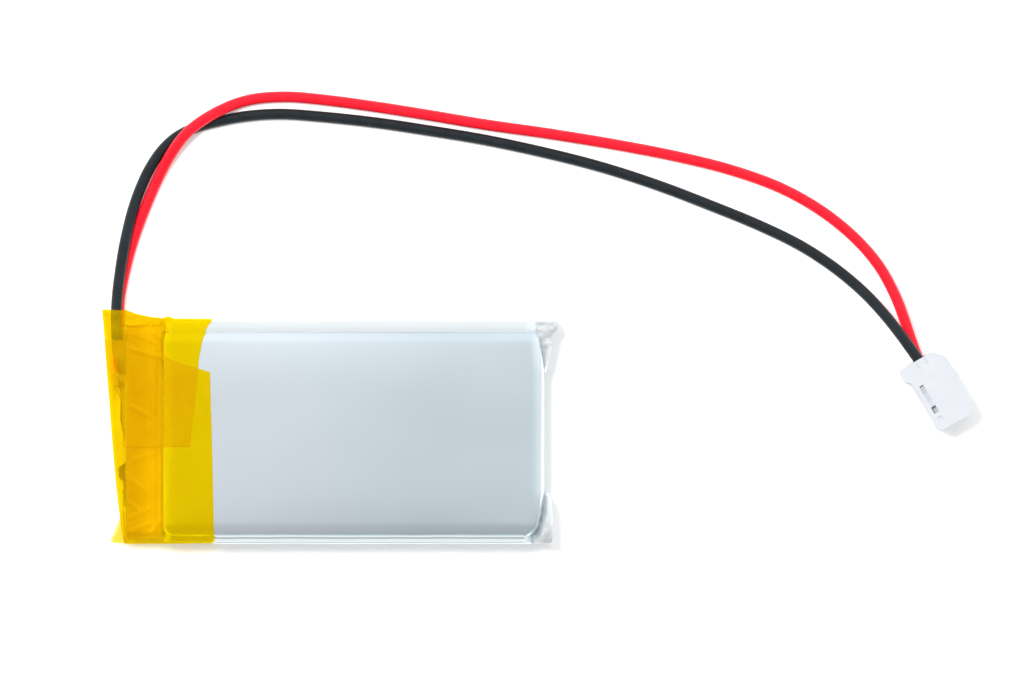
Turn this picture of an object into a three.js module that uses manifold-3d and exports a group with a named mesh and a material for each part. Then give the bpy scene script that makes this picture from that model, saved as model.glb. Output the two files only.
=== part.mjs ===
// A small pouch battery cell with its protection board, two leads and a two-way crimp plug.
// Millimetres. +Z is up. The cell lies on its back: +X runs from the taped head to the folded
// end, and the leads leave the head towards +Y. The origin is at the bottom centre of the cell,
// measured without the leads and their plug.

import * as THREE from 'three';
import { mergeVertices } from 'three/addons/utils/BufferGeometryUtils.js';
import Module from 'manifold-3d';

const wasm = await Module();
wasm.setup();

// ---------------------------------------------------------------- driving dimensions

const TAPE = 0.1;
const GLUE = 0.03;

// pouch
const LAMINATE = 0.15;
const POUCH_BASE = 0;
const POUCH_TOP = 5.7;
const POUCH_HEAD_X = -18.4;
const POUCH_END_X = 23.4;
const POUCH_HALF_WIDTH = 11.5;
const EDGE_RADIUS = 1.2;
const BACK_RADIUS = 0.35;
const SEAM_OUTER_Y = 12.3;
const SEAM_TOP = 5.3;
const SEAM_SHEET = 0.25;
const SEAM_FOLD_GAP = 0.2;
const EAR_REACH_X = 24.8;
const BACK_PRESS = TAPE + GLUE;
const FACE_PRESS = 0.05;

// top seal of the pouch, which the tabs pass through
const TERRACE_HEAD_X = -21.6;
const TERRACE_HALF_WIDTH = 11.3;
const TERRACE_TOP = 0.73;
const TAB_LEVEL = 0.43;
const TAB = 0.1;
const TAB_WIDTH = 3;
const TAB_FILM = 0.24;
const TAB_FILM_WIDTH = 4.6;
const POSITIVE_TAB_Y = 2;
const NEGATIVE_TAB_Y = -6.5;

// wound electrodes
const ROLL_LEVEL = 2.91;
const ROLL_FLAT_HALF = 8.7;
const ROLL_CORE = 0.3;
const ROLL_PITCH = 0.44;
const ROLL_TURNS = 4;
const ROLL_ARC_STEPS = 8;
const ELECTRODE = 0.15;
const SEPARATOR = 0.03;
const LAYER_GAP = 0.02;

// protection board
const BOARD_X0 = -22.3;
const BOARD_X1 = -19.2;
const BOARD_HALF_LENGTH = 11;
const BOARD_BASE = 2.1;
const BOARD_TOP = 2.8;
const NICKEL = 0.15;
const PAPER = 0.2;

// tape around the head
const TAPE_HALF_WIDTH = 12.45;
const TAPE_HEAD_X = -24.9;
const TAPE_END_X = -12.9;
const TAPE_BOARD_X = BOARD_X0;

// leads and plug
const WIRE_RADIUS = 0.6;
const CORE_RADIUS = 0.25;
const WIRE_SIDES = 8;
const LEAD_STEPS = 50;
const STRIP_AT = 2.3;
const PLUG_LENGTH = 8;
const PLUG_HALF_WIDTH = 2.35;
const PLUG_HEIGHT = 5.8;
const PLUG_REAR = new THREE.Vector3(64.7, 8.2, 0);
const PLUG_TURN = -Math.PI / 3;
const CAVITY = 1.7;
const CAVITY_Y = -0.35;
const RED_CAVITY_Z = 1.9;
const BLACK_CAVITY_Z = 3.9;
const CONTACT = 0.15;

// ---------------------------------------------------------------- materials

function material(colour, roughness, metalness) {
  return new THREE.MeshStandardMaterial({ color: colour, roughness, metalness });
}

const MATERIALS = {
  laminate: () => material(0xc9d6dc, 0.35, 0.6),
  cathode: () => material(0x2e3033, 0.8, 0.2),
  anode: () => material(0x4a3b33, 0.8, 0.2),
  separator: () => material(0xf2f2ee, 0.6, 0),
  greenTape: () => material(0x4f9a5c, 0.5, 0),
  aluminium: () => material(0xc8ccd0, 0.35, 1),
  nickel: () => material(0xb9b6ac, 0.3, 1),
  sealFilm: () => material(0xd8d8d2, 0.5, 0),
  board: () => material(0x2f6b3c, 0.5, 0),
  chip: () => material(0x1c1c1e, 0.6, 0),
  ceramic: () => material(0xa98f6b, 0.6, 0),
  paper: () => material(0xe6dcc2, 0.9, 0),
  solder: () => material(0xc2c4c6, 0.3, 1),
  copper: () => material(0xb9734a, 0.35, 1),
  amberTape: () => material(0xe8b800, 0.3, 0),
  redInsulation: () => material(0xff2938, 0.4, 0),
  blackInsulation: () => material(0x262930, 0.4, 0),
  nylon: () => material(0xe8ebf0, 0.45, 0),
  brass: () => material(0xc9b27a, 0.3, 1),
};

// ---------------------------------------------------------------- solids

function solidOf(geometry) {
  const bare = geometry.clone();
  bare.deleteAttribute('normal');
  bare.deleteAttribute('uv');
  const merged = mergeVertices(bare, 1e-5);
  return new wasm.Manifold(new wasm.Mesh({
    numProp: 3,
    vertProperties: new Float32Array(merged.attributes.position.array),
    triVerts: new Uint32Array(merged.index.array),
  }));
}

function geometryOf(solid) {
  const mesh = solid.getMesh();
  const geometry = new THREE.BufferGeometry();
  geometry.setAttribute('position', new THREE.BufferAttribute(new Float32Array(mesh.vertProperties), 3));
  geometry.setIndex(new THREE.BufferAttribute(new Uint32Array(mesh.triVerts), 1));
  return geometry;
}

function joined(solids) {
  return solids.reduce((whole, solid) => whole.add(solid));
}

function common(solids) {
  return solids.reduce((whole, solid) => whole.intersect(solid));
}

// ---------------------------------------------------------------- extrusions along each axis

const ALONG_X = new THREE.Matrix4().makeBasis(
  new THREE.Vector3(0, 1, 0), new THREE.Vector3(0, 0, 1), new THREE.Vector3(1, 0, 0));
const ALONG_Y = new THREE.Matrix4().makeBasis(
  new THREE.Vector3(1, 0, 0), new THREE.Vector3(0, 0, 1), new THREE.Vector3(0, -1, 0));

function shapeOf(points) {
  return new THREE.Shape(points.map(([a, b]) => new THREE.Vector2(a, b)));
}

function extrudeShape(shape, depth, curveSegments = 4, steps = 1) {
  return new THREE.ExtrudeGeometry(shape, { depth, steps, bevelEnabled: false, curveSegments });
}

// an outline in X and Y, standing from z0 to z1
function prismZ(shape, z0, z1) {
  return extrudeShape(shape, z1 - z0).translate(0, 0, z0);
}

// an outline in Y and Z, running from x0 to x1
function prismX(shape, x0, x1) {
  return extrudeShape(shape, x1 - x0).applyMatrix4(ALONG_X).translate(x0, 0, 0);
}

// an outline in X and Z, running from y0 to y1
function prismY(shape, y0, y1, steps = 1) {
  return extrudeShape(shape, y1 - y0, 4, steps).applyMatrix4(ALONG_Y).translate(0, y1, 0);
}

function box(x0, x1, y0, y1, z0, z1) {
  return new THREE.BoxGeometry(x1 - x0, y1 - y0, z1 - z0)
    .translate((x0 + x1) / 2, (y0 + y1) / 2, (z0 + z1) / 2);
}

// a rectangle with one radius for its two low corners and others for its two high ones
function rectangle(a0, a1, b0, b1, lowRadius, highRadiusLeft, highRadiusRight = highRadiusLeft) {
  const shape = new THREE.Shape();
  const quarter = Math.PI / 2;
  shape.absarc(a1 - lowRadius, b0 + lowRadius, lowRadius, -quarter, 0);
  shape.absarc(a1 - highRadiusRight, b1 - highRadiusRight, highRadiusRight, 0, quarter);
  shape.absarc(a0 + highRadiusLeft, b1 - highRadiusLeft, highRadiusLeft, quarter, 2 * quarter);
  shape.absarc(a0 + lowRadius, b0 + lowRadius, lowRadius, 2 * quarter, 3 * quarter);
  return shape;
}

// the points of a path moved sideways by a distance, with mitred corners
function offsetPath(points, distance) {
  const normals = points.slice(1).map(([a, b], i) => {
    const [da, db] = [a - points[i][0], b - points[i][1]];
    const length = Math.hypot(da, db);
    return [-db / length, da / length];
  });
  return points.map(([a, b], i) => {
    const before = normals[Math.max(i - 1, 0)];
    const after = normals[Math.min(i, normals.length - 1)];
    const scale = distance / (1 + before[0] * after[0] + before[1] * after[1]);
    return [a + (before[0] + after[0]) * scale, b + (before[1] + after[1]) * scale];
  });
}

// the outline of a strip of even thickness that follows a path
function ribbon(points, thickness) {
  const left = offsetPath(points, thickness / 2);
  const right = offsetPath(points, -thickness / 2);
  return shapeOf([...right, ...left.reverse()]);
}

function mirroredY(points) {
  return points.map(([y, z]) => [-y, z]).reverse();
}

// ---------------------------------------------------------------- pouch

// the drawn cup of the pouch, or with an inset the room inside it
function cup(inset) {
  const x0 = POUCH_HEAD_X + inset;
  const x1 = POUCH_END_X - inset;
  const y1 = POUCH_HALF_WIDTH - inset;
  const z0 = POUCH_BASE + inset;
  const z1 = POUCH_TOP - inset;
  const edge = EDGE_RADIUS - inset;
  const back = BACK_RADIUS - inset;
  return common([
    solidOf(prismX(rectangle(-y1, y1, z0, z1, back, edge), x0, x1)),
    solidOf(prismY(rectangle(x0, x1, z0, z1, back, edge, edge + 0.3), -y1, y1)),
    solidOf(prismZ(rectangle(x0, x1, -y1, y1, edge, edge), z0, z1)),
  ]);
}

// the tight tape presses the soft pouch in a little, so it ends flush with the back
function pressed(solid, inset) {
  const endX = TAPE_END_X + 0.1 + inset;
  const far = 20;
  const back = box(-2 * far, endX, -far, far, -1, BACK_PRESS + inset);
  const face = box(-2 * far, endX, -far, far, POUCH_TOP - FACE_PRESS - inset, far);
  return solid.subtract(solidOf(back)).subtract(solidOf(face));
}

// the sealed side flange turned up beside the cup and folded back down on itself
function seamOutline() {
  const outer = SEAM_OUTER_Y;
  const outerInside = outer - SEAM_SHEET;
  const inner = outerInside - SEAM_FOLD_GAP - SEAM_SHEET;
  const flangeTop = POUCH_BASE + 2 * LAMINATE;
  const hem = 0.9;
  return [
    [POUCH_HALF_WIDTH - 0.5, POUCH_BASE], [outer, POUCH_BASE], [outer, SEAM_TOP],
    [inner, SEAM_TOP], [inner, hem], [inner + SEAM_SHEET, hem],
    [inner + SEAM_SHEET, SEAM_TOP - SEAM_SHEET], [outerInside, SEAM_TOP - SEAM_SHEET],
    [outerInside, flangeTop], [POUCH_HALF_WIDTH - 0.5, flangeTop],
  ];
}

// the flat corner of laminate left where the side flange meets the fold
function earOutline(side) {
  const points = [
    [22, SEAM_OUTER_Y], [EAR_REACH_X, SEAM_OUTER_Y], [EAR_REACH_X, 11.1], [24, 9.2], [22.5, 8.4],
  ];
  return side > 0 ? points : mirroredEar(points);
}

function mirroredEar(points) {
  return points.map(([x, y]) => [x, -y]).reverse();
}

function tabSlot(y) {
  const half = TAB_FILM_WIDTH / 2 + 0.1;
  const rise = TAB_FILM / 2 + 0.03;
  return solidOf(box(TERRACE_HEAD_X - 1, POUCH_HEAD_X + 1, y - half, y + half, TAB_LEVEL - rise, TAB_LEVEL + rise));
}

function pouchLaminate() {
  const seam = seamOutline();
  const ears = [1, -1].map((side) => solidOf(
    prismZ(shapeOf(earOutline(side)), POUCH_BASE, POUCH_BASE + 2 * LAMINATE)));
  const seams = [seam, mirroredY(seam)].map((outline) => solidOf(
    prismX(shapeOf(outline), POUCH_HEAD_X + 0.2, POUCH_END_X - 0.4)));
  const terrace = solidOf(box(TERRACE_HEAD_X, POUCH_HEAD_X + 1, -TERRACE_HALF_WIDTH, TERRACE_HALF_WIDTH,
    POUCH_BASE, TERRACE_TOP));
  return pressed(joined([cup(0), terrace, ...seams, ...ears]), 0)
    .subtract(pressed(cup(LAMINATE), LAMINATE))
    .subtract(tabSlot(POSITIVE_TAB_Y))
    .subtract(tabSlot(NEGATIVE_TAB_Y));
}

// ---------------------------------------------------------------- wound electrodes

// one layer of the flat winding: it starts at a distance from the core and has its own thickness
function windingOutline(offset, thickness) {
  const inner = [];
  const outer = [];
  for (let half = 0; half < 2 * ROLL_TURNS; half += 1) {
    const side = half % 2 === 0 ? 1 : -1;
    for (let step = 0; step <= ROLL_ARC_STEPS; step += 1) {
      const part = step / ROLL_ARC_STEPS;
      const angle = Math.PI / 2 - Math.PI * (half + part);
      const radius = ROLL_CORE + offset + ROLL_PITCH * (half + part) / 2;
      const along = (r) => [side * ROLL_FLAT_HALF + r * Math.cos(angle), ROLL_LEVEL + r * Math.sin(angle)];
      inner.push(along(radius));
      outer.push(along(radius + thickness));
    }
  }
  return shapeOf([...outer, ...inner.reverse()].reverse());
}

function windingLayer(offset, thickness, x0, x1) {
  return prismX(windingOutline(offset, thickness), x0, x1);
}

// ---------------------------------------------------------------- tabs

function tab(y, x0) {
  const up = -22.7;
  const inside = -17.85;
  const weld = BOARD_TOP + NICKEL + TAB / 2;
  const path = [
    [x0, ROLL_LEVEL], [inside, ROLL_LEVEL], [inside, TAB_LEVEL],
    [up, TAB_LEVEL], [up, weld], [-20.2, weld],
  ];
  return prismY(ribbon(path, TAB), y - TAB_WIDTH / 2, y + TAB_WIDTH / 2);
}

function tabFilm(y) {
  const film = solidOf(box(TERRACE_HEAD_X - 0.5, POUCH_HEAD_X + 0.3, y - TAB_FILM_WIDTH / 2,
    y + TAB_FILM_WIDTH / 2, TAB_LEVEL - TAB_FILM / 2, TAB_LEVEL + TAB_FILM / 2));
  const slit = solidOf(box(TERRACE_HEAD_X - 1, POUCH_HEAD_X + 1, y - TAB_WIDTH / 2 - 0.02,
    y + TAB_WIDTH / 2 + 0.02, TAB_LEVEL - TAB / 2 - 0.01, TAB_LEVEL + TAB / 2 + 0.01));
  return film.subtract(slit);
}

// ---------------------------------------------------------------- protection board

function circuitBoard() {
  const board = solidOf(prismZ(
    rectangle(BOARD_X0, BOARD_X1, -BOARD_HALF_LENGTH, BOARD_HALF_LENGTH, 0.3, 0.3), BOARD_BASE, BOARD_TOP));
  const breakaways = [-BOARD_HALF_LENGTH, BOARD_HALF_LENGTH].map((y) => solidOf(
    new THREE.CylinderGeometry(0.35, 0.35, 2, 12).rotateX(Math.PI / 2).translate(
      (BOARD_X0 + BOARD_X1) / 2, y, (BOARD_BASE + BOARD_TOP) / 2)));
  return breakaways.reduce((whole, cut) => whole.subtract(cut), board);
}

// a chip under the board, with rows of bent leads along its two Y sides
function chip({ x, y, alongX, alongY, height, leads, pitch }) {
  const top = BOARD_BASE - 0.1;
  const leadLevel = top - height / 2;
  const reach = 1;
  const body = solidOf(box(x - alongX / 2, x + alongX / 2, y - alongY / 2, y + alongY / 2, top - height, top));
  const pieces = [body];
  for (const side of [1, -1]) {
    for (let i = 0; i < leads; i += 1) {
      const leadX = x + (i - (leads - 1) / 2) * pitch;
      const root = y + side * (alongY / 2 - 0.1);
      const knee = y + side * (alongY / 2 + 0.3);
      const toe = y + side * (alongY / 2 + reach);
      const path = [[root, leadLevel], [knee, leadLevel], [knee, BOARD_BASE - 0.08], [toe, BOARD_BASE - 0.08]];
      const outline = side > 0 ? path : path.slice().reverse();
      pieces.push(solidOf(prismX(ribbon(outline, 0.14), leadX - 0.12, leadX + 0.12)));
    }
  }
  return joined(pieces);
}

// a small two-ended chip part under the board, its plated ends a little proud of its body
function passive(x, y, length, width, height) {
  const top = BOARD_BASE;
  const end = 0.25;
  const body = solidOf(box(x - length / 2 + 0.05, x + length / 2 - 0.05, y - width / 2 + 0.03,
    y + width / 2 - 0.03, top - height + 0.03, top - 0.05));
  const ends = [-1, 1].map((side) => {
    const outer = x + side * length / 2;
    const inner = outer - side * end;
    return solidOf(box(Math.min(outer, inner), Math.max(outer, inner), y - width / 2, y + width / 2,
      top - height, top));
  });
  return joined([body, ...ends]);
}

function nickelStrip(y) {
  return prismZ(rectangle(-22.1, -19.5, y - 2, y + 2, 0.2, 0.2), BOARD_TOP, BOARD_TOP + NICKEL);
}

// a slip of paper that lies flat under or over the board
function insulatingPaper(x0, x1, base) {
  const half = BOARD_HALF_LENGTH - 0.1;
  return prismZ(rectangle(x0, x1, -half, half, 0.4, 0.4), base, base + PAPER);
}

// ---------------------------------------------------------------- tape

// how far the tape's head end reaches at each place across the cell
function headReach(y) {
  const far = 13.5;
  const near = -9.6;
  const nearReach = 0.42;
  const part = THREE.MathUtils.clamp((y - near) / (far - near), 0, 1);
  return nearReach + (1 - nearReach) * part;
}

// the slanted head edge and the wide corner where the leads come out
function skewHead(geometry) {
  const flare = 1.084;
  const position = geometry.attributes.position;
  for (let i = 0; i < position.count; i += 1) {
    const x = position.getX(i);
    const y = position.getY(i);
    if (x < TAPE_BOARD_X) {
      position.setX(i, TAPE_BOARD_X + (x - TAPE_BOARD_X) * headReach(y));
    }
    if (y > 0) {
      const part = THREE.MathUtils.clamp((-18.6 - x) / 3.7, 0, 1);
      position.setY(i, y * (1 + (flare - 1) * part));
    }
  }
  return geometry;
}

// the middle of the tape's thickness: under the cell, round the head and over the shoulder
function tapePath() {
  const middle = TAPE / 2;
  const crownX = POUCH_HEAD_X + EDGE_RADIUS;
  const crownZ = POUCH_TOP - EDGE_RADIUS - FACE_PRESS;
  const radius = EDGE_RADIUS + GLUE + middle + 0.08;
  const shoulder = [180, 150, 120, 90].map((degrees) => {
    const angle = THREE.MathUtils.degToRad(degrees);
    return [crownX + radius * Math.cos(angle), crownZ + radius * Math.sin(angle)];
  });
  return [
    [TAPE_END_X, middle], [-24.3, middle], [TAPE_HEAD_X + middle, 0.9], [TAPE_HEAD_X + middle, 2.4],
    [-24.2, 3.4], [TAPE_BOARD_X, 4.2], [-19.3, 4.45], [-18.95, 4.3], ...shoulder,
    [TAPE_END_X, crownZ + radius],
  ];
}

function tapeBlock(halfThickness, halfWidth, endX) {
  const outline = offsetPath(tapePath(), halfThickness);
  const last = outline.length - 1;
  outline[0][0] = endX;
  outline[last][0] = endX;
  return solidOf(skewHead(prismY(shapeOf(outline.reverse()), -halfWidth, halfWidth, 8)));
}

function tapeWrap() {
  const outer = tapeBlock(TAPE / 2, TAPE_HALF_WIDTH, TAPE_END_X);
  const room = tapeBlock(-TAPE / 2, TAPE_HALF_WIDTH - TAPE, TAPE_END_X + 1);
  const scoop = solidOf(prismZ(shapeOf([
    [-14.36, 7.05], [TAPE_END_X + 1, 6.5], [TAPE_END_X + 1, 14], [-12.9, 14], [-12.9, 12.4],
    [-13.3, 11.8], [-13.97, 9.9], [-14.3, 8.1],
  ]), 4.5, 8));
  const leadExit = solidOf(prismY(rectangle(-24.3, -22.6, 0.25, 2.95, 0.3, 0.3), 12, 15));
  const flap = solidOf(prismZ(shapeOf([[-24.2, -12.3], [-22.4, -12.35], [-22.4, -10.2]]), 1.3, 1.3 + TAPE));
  return outer.add(flap).subtract(room).subtract(scoop).subtract(leadExit);
}

// the tail of the tape, stuck down over the first turn on the top of the cell
function tapeOverlap() {
  const top = tapePath().slice(5);
  const raised = offsetPath(top, TAPE + GLUE);
  const band = solidOf(prismY(ribbon(raised, TAPE), -TAPE_HALF_WIDTH, TAPE_HALF_WIDTH));
  const plan = solidOf(prismZ(shapeOf([
    [-22.25, -10.7], [-17.8, -10.7], [-17.8, -1.6], [-15.3, -1.6], [-14.6, 7.05], [-22.25, 9.4],
  ]), 3, 8));
  return band.intersect(plan);
}

// ---------------------------------------------------------------- leads

const RED_ROUTE = [
  [-23.3, 6.4, 0.95], [-23.35, 9.5, 0.95], [-23.3, 12.6, 0.92], [-23.24, 14.5, 0.8], [-22.8, 17, 0.62],
  [-22.05, 20, 0.62], [-21.3, 22.3, 0.62], [-20.1, 25.4, 0.62], [-18.75, 28.4, 0.74], [-17.75, 30.2, 1.22],
  [-16.75, 31.7, 1.74], [-15.5, 33.1, 1.95], [-14, 34.25, 1.88], [-12.3, 35.25, 1.42], [-10.4, 36.1, 0.82],
  [-8.2, 36.65, 0.62], [-4.7, 36.85, 0.62], [-0.6, 36.5, 0.62], [5, 35.75, 0.62], [11, 34.8, 0.62],
  [17, 33.8, 0.62], [24, 32.8, 0.62], [31, 31.65, 0.62], [38, 30.3, 0.62], [44, 28.8, 0.62],
  [49.5, 26.8, 0.62], [54.2, 24.1, 0.62], [57.9, 21, 0.64], [60.3, 18.1, 0.82], [62, 14.9, 1.25],
  [63, 12.2, 1.68], [63.65, 10.2, 1.88],
];

const BLACK_ROUTE = [
  [-23.4, 9, 2.2], [-23.5, 11.2, 2.2], [-23.5, 13.4, 2.18], [-23.35, 15.6, 2.02], [-23.05, 18, 1.84],
  [-22.7, 20.2, 1.74], [-22.25, 22.4, 1.44], [-21.75, 24.4, 1.02], [-21, 26.6, 0.68], [-20, 28.8, 0.62],
  [-18.6, 30.9, 0.62], [-17, 32.4, 0.62], [-14.9, 33.45, 0.62], [-12.2, 34.2, 0.62], [-9, 34.75, 0.62],
  [-5.5, 34.95, 0.62], [-1, 34.65, 0.62], [5, 34, 0.62], [11, 33.1, 0.62], [17, 32.1, 0.62],
  [24, 30.6, 0.62], [30, 29.05, 0.62], [36, 27.1, 0.62], [41.5, 25, 0.62], [47, 22.75, 0.62],
  [51.6, 20.5, 0.64], [55.4, 18, 0.85], [58.4, 15.45, 1.5], [60.7, 12.95, 2.55], [62.3, 10.9, 3.45],
  [63.3, 9.5, 3.84],
];

// the rest of each lead runs straight into its cavity in the plug
function plugPoint(along, cavityZ) {
  return new THREE.Vector3(along, CAVITY_Y, cavityZ)
    .applyAxisAngle(new THREE.Vector3(0, 0, 1), PLUG_TURN)
    .add(PLUG_REAR);
}

function pathOf(route, ends = []) {
  const points = [...route.map(([x, y, z]) => new THREE.Vector3(x, y, z)), ...ends];
  return new THREE.CatmullRomCurve3(points, false, 'centripetal');
}

function tube(path, radius, steps) {
  const section = new THREE.Shape();
  for (let i = 0; i < WIRE_SIDES; i += 1) {
    const angle = 2 * Math.PI * (i + 0.5) / WIRE_SIDES;
    const place = [radius * Math.cos(angle), radius * Math.sin(angle)];
    if (i === 0) {
      section.moveTo(...place);
    } else {
      section.lineTo(...place);
    }
  }
  return new THREE.ExtrudeGeometry(section, { steps, extrudePath: path, bevelEnabled: false });
}


function lead(route, cavityZ) {
  const ends = [plugPoint(0.6, cavityZ), plugPoint(STRIP_AT, cavityZ)];
  return tube(pathOf(route, ends), WIRE_RADIUS, LEAD_STEPS);
}

// the bare strands in the plug, inside the contact's crimp
function plugEnd(cavityZ) {
  const path = new THREE.LineCurve3(plugPoint(STRIP_AT + 0.02, cavityZ), plugPoint(3.4, cavityZ));
  return tube(path, CORE_RADIUS, 1);
}

const RED_BOARD_END = [
  [-23.28, 6.36, 0.95], [-23.1, 5.9, 1.2], [-22.85, 5.6, 1.8], [-22.75, 5.4, 2.6], [-22.45, 5.35, 3.05],
  [-21.9, 5.3, 3.12], [-21.2, 5.3, 3.1],
];
const BLACK_BOARD_END = [
  [-23.4, 8.97, 2.2], [-23.3, 8.5, 2.4], [-22.95, 8.2, 2.8], [-22.4, 8.1, 3.1], [-21.9, 8.05, 3.12],
  [-21.2, 8.05, 3.1],
];

// a dome of solder on the board that holds the end of the strands
function solderJoint(x, y, strands) {
  const profile = [[0, 0], [0.85, 0], [0.78, 0.25], [0.58, 0.5], [0.3, 0.64], [0, 0.7]]
    .map(([r, z]) => new THREE.Vector2(r, z));
  const dome = new THREE.LatheGeometry(profile, 16).rotateX(Math.PI / 2).translate(x, y, BOARD_TOP);
  return solidOf(dome).subtract(solidOf(tube(pathOf(strands), CORE_RADIUS + 0.05, 12)));
}

// ---------------------------------------------------------------- plug

function plugOutline() {
  const half = PLUG_HALF_WIDTH;
  return shapeOf([
    [0, -half - 0.5], [1.6, -half - 0.5], [1.9, -half], [PLUG_LENGTH - 0.3, -half], [PLUG_LENGTH, -half + 0.3],
    [PLUG_LENGTH, half - 0.9], [PLUG_LENGTH - 0.9, half], [1.2, half], [0, half - 1.1],
  ]);
}

function plugHousing() {
  const body = solidOf(prismZ(plugOutline(), 0, PLUG_HEIGHT));
  const cuts = [];
  for (const z of [RED_CAVITY_Z, BLACK_CAVITY_Z]) {
    const rear = CAVITY / 2;
    const front = 0.55;
    cuts.push(box(-1, PLUG_LENGTH - 0.8, CAVITY_Y - rear, CAVITY_Y + rear, z - rear, z + rear));
    cuts.push(box(PLUG_LENGTH - 2, PLUG_LENGTH + 1, CAVITY_Y - front, CAVITY_Y + front, z - front, z + front));
  }
  cuts.push(box(2.6, 5.4, -1.8, -1.4, PLUG_HEIGHT - 0.35, PLUG_HEIGHT + 1));
  cuts.push(box(5.2, 6, -1.9, -1.3, PLUG_HEIGHT - 1, PLUG_HEIGHT + 1));
  cuts.push(box(6.5, 7.1, -1.9, -1.3, PLUG_HEIGHT - 0.3, PLUG_HEIGHT + 1));
  return cuts.reduce((whole, cut) => whole.subtract(solidOf(cut)), body);
}

// a stamped contact: wings on the insulation, wings on the strands, and a box that takes the pin
function contact(cavityZ) {
  const y = CAVITY_Y;
  const floor = cavityZ - 0.8;
  const wings = (half, height) => ribbon([
    [y - half, floor + height], [y - half, floor + CONTACT / 2], [y + half, floor + CONTACT / 2],
    [y + half, floor + height],
  ], CONTACT);
  const gripInsulation = solidOf(prismX(wings(0.7, 1.45), 0.8, 2));
  const gripStrands = solidOf(prismX(wings(0.45, 1.2), 2.6, 3.3));
  const spine = solidOf(box(0.8, 4, y - 0.4, y + 0.4, floor, floor + CONTACT));
  const boxOuter = solidOf(box(3.7, 7, y - 0.7, y + 0.7, floor, floor + 1.5));
  const boxInner = solidOf(box(3.6, 7.1, y - 0.55, y + 0.55, floor + CONTACT, floor + 1.5 - CONTACT));
  return joined([spine, gripInsulation, gripStrands, boxOuter.subtract(boxInner)]);
}

// ---------------------------------------------------------------- assembly

const cell = new THREE.Group();
const leads = new THREE.Group();
const plug = new THREE.Group();
plug.position.copy(PLUG_REAR);
plug.rotation.z = PLUG_TURN;
leads.add(plug);

function add(parent, name, shape, look) {
  const geometry = shape.isBufferGeometry ? shape : geometryOf(shape);
  const mesh = new THREE.Mesh(geometry, MATERIALS[look]());
  mesh.name = name;
  parent.add(mesh);
}

add(cell, 'pouch_laminate', pouchLaminate(), 'laminate');

let layerAt = 0;
for (const [name, thickness, look, x0, x1] of [
  ['cathode_foil', ELECTRODE, 'cathode', -16.9, 21.4],
  ['separator_inner', SEPARATOR, 'separator', -17.4, 22],
  ['anode_foil', ELECTRODE, 'anode', -17.1, 21.7],
  ['separator_outer', SEPARATOR, 'separator', -17.4, 22],
]) {
  add(cell, name, windingLayer(layerAt, thickness, x0, x1), look);
  layerAt += thickness + LAYER_GAP;
}
add(cell, 'winding_end_tape', box(-9, 13, -6, 6, 5.44, 5.5), 'greenTape');

add(cell, 'positive_tab', tab(POSITIVE_TAB_Y, -9), 'aluminium');
add(cell, 'negative_tab', tab(NEGATIVE_TAB_Y, -9), 'nickel');
add(cell, 'positive_tab_film', tabFilm(POSITIVE_TAB_Y), 'sealFilm');
add(cell, 'negative_tab_film', tabFilm(NEGATIVE_TAB_Y), 'sealFilm');

add(cell, 'insulating_paper', insulatingPaper(-21.5, -18.8, TERRACE_TOP + 0.05), 'paper');
add(cell, 'board_cover_paper', insulatingPaper(BOARD_X0 + 0.05, -18.7, 3.6), 'paper');
add(cell, 'circuit_board', circuitBoard(), 'board');
add(cell, 'mosfet_chip', chip(
  { x: -20.75, y: -3, alongX: 3, alongY: 4.4, height: 0.85, leads: 4, pitch: 0.65 }), 'chip');
add(cell, 'protection_chip', chip(
  { x: -20.75, y: 4.2, alongX: 2.9, alongY: 1.6, height: 0.85, leads: 3, pitch: 0.95 }), 'chip');
add(cell, 'supply_resistor', passive(-20.9, 7.3, 1, 0.5, 0.35), 'chip');
add(cell, 'sense_resistor', passive(-20.9, 8.6, 1, 0.5, 0.35), 'chip');
add(cell, 'filter_capacitor', passive(-20.9, 9.9, 1, 0.5, 0.5), 'ceramic');
add(cell, 'positive_nickel_strip', nickelStrip(POSITIVE_TAB_Y), 'nickel');
add(cell, 'negative_nickel_strip', nickelStrip(NEGATIVE_TAB_Y), 'nickel');

add(cell, 'tape_wrap', tapeWrap(), 'amberTape');
add(cell, 'tape_overlap', tapeOverlap(), 'amberTape');

add(cell, 'red_wire_board_end', tube(pathOf(RED_BOARD_END), CORE_RADIUS, 12), 'copper');
add(cell, 'black_wire_board_end', tube(pathOf(BLACK_BOARD_END), CORE_RADIUS, 10), 'copper');
add(cell, 'red_solder_joint', solderJoint(-21.2, 5.3, RED_BOARD_END), 'solder');
add(cell, 'black_solder_joint', solderJoint(-21.2, 8.05, BLACK_BOARD_END), 'solder');

add(leads, 'red_wire', lead(RED_ROUTE, RED_CAVITY_Z), 'redInsulation');
add(leads, 'black_wire', lead(BLACK_ROUTE, BLACK_CAVITY_Z), 'blackInsulation');
add(leads, 'red_wire_plug_end', plugEnd(RED_CAVITY_Z), 'copper');
add(leads, 'black_wire_plug_end', plugEnd(BLACK_CAVITY_Z), 'copper');

add(plug, 'plug_housing', plugHousing(), 'nylon');
add(plug, 'red_contact', contact(RED_CAVITY_Z), 'brass');
add(plug, 'black_contact', contact(BLACK_CAVITY_Z), 'brass');

const extent = new THREE.Box3().setFromObject(cell);
const middle = extent.getCenter(new THREE.Vector3());
const battery = new THREE.Group();
battery.add(cell, leads);
battery.position.set(-middle.x, -middle.y, -extent.min.z);

export default battery;
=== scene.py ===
"""The looks of a small pouch battery cell with a taped protection board, two leads and a plug.

Every place below is in the cell's own millimetres, the ones its solids are drawn in, and at()
turns it into metres in the frame. The cell lies on its back with its taped head towards -X.
"""

import math

import bpy
import numpy as np
from mathutils import Matrix, Vector, noise


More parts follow.
